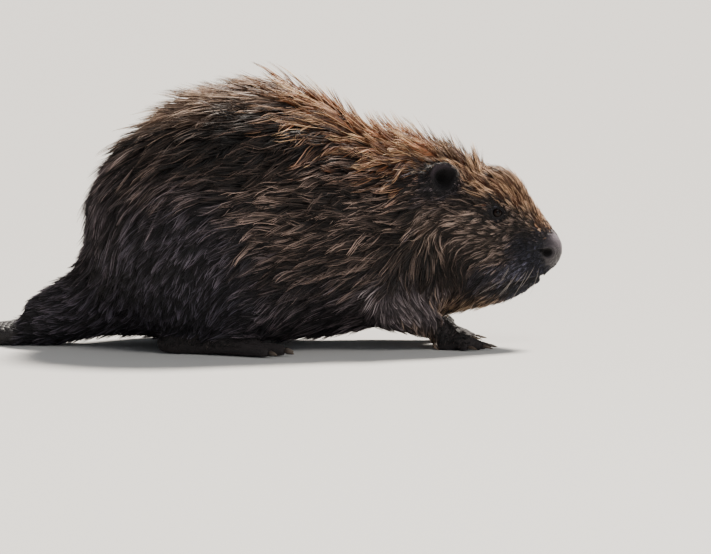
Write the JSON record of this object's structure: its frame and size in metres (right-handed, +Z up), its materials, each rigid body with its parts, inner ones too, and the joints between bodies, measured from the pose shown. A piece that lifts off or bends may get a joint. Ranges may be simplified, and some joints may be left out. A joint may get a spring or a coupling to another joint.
{
  "type": "beaver",
  "caption": "Life-size still figure of an adult beaver crouched on all fours with its head lowered and its flat tail laid out behind.",
  "frame": {"origin": "bottom centre of the bounding box, on the floor", "axes": "+X forward along the animal, head end; +Y to the animal's left; +Z up"},
  "size_m": [0.8732, 0.3206, 0.313],
  "materials": {
    "fur": "long wet guard hair in clumps, golden brown along the back and dark brown on the flanks",
    "skin": "dark bare skin of the nose, ears, feet and scaly tail, slightly glossy",
    "eye": "wet dark brown eye",
    "claw": "dark horn, worn smooth"
  },
  "bodies": {
    "root": {"ear_left": "skin", "ear_right": "skin", "eye_left": "eye", "eye_right": "eye", "fore_claw_left_1": "claw", "fore_claw_left_2": "claw", "fore_claw_left_3": "claw", "fore_claw_left_4": "claw", "fore_claw_left_5": "claw", "fore_claw_right_1": "claw", "fore_claw_right_2": "claw", "fore_claw_right_3": "claw", "fore_claw_right_4": "claw", "fore_claw_right_5": "claw", "foreleg_left": "fur", "foreleg_right": "fur", "forepaw_left": "skin", "forepaw_right": "skin", "head": "fur", "hind_claw_left_1": "claw", "hind_claw_left_2": "claw", "hind_claw_left_3": "claw", "hind_claw_left_4": "claw", "hind_claw_left_5": "claw", "hind_claw_right_1": "claw", "hind_claw_right_2": "claw", "hind_claw_right_3": "claw", "hind_claw_right_4": "claw", "hind_claw_right_5": "claw", "hind_foot_left": "skin", "hind_foot_right": "skin", "hind_leg_left": "fur", "hind_leg_right": "fur", "jaw": "fur", "neck": "fur", "nose": "skin", "tail": "skin", "tail_root": "fur", "trunk": "fur"}
  },
  "joints": []
}
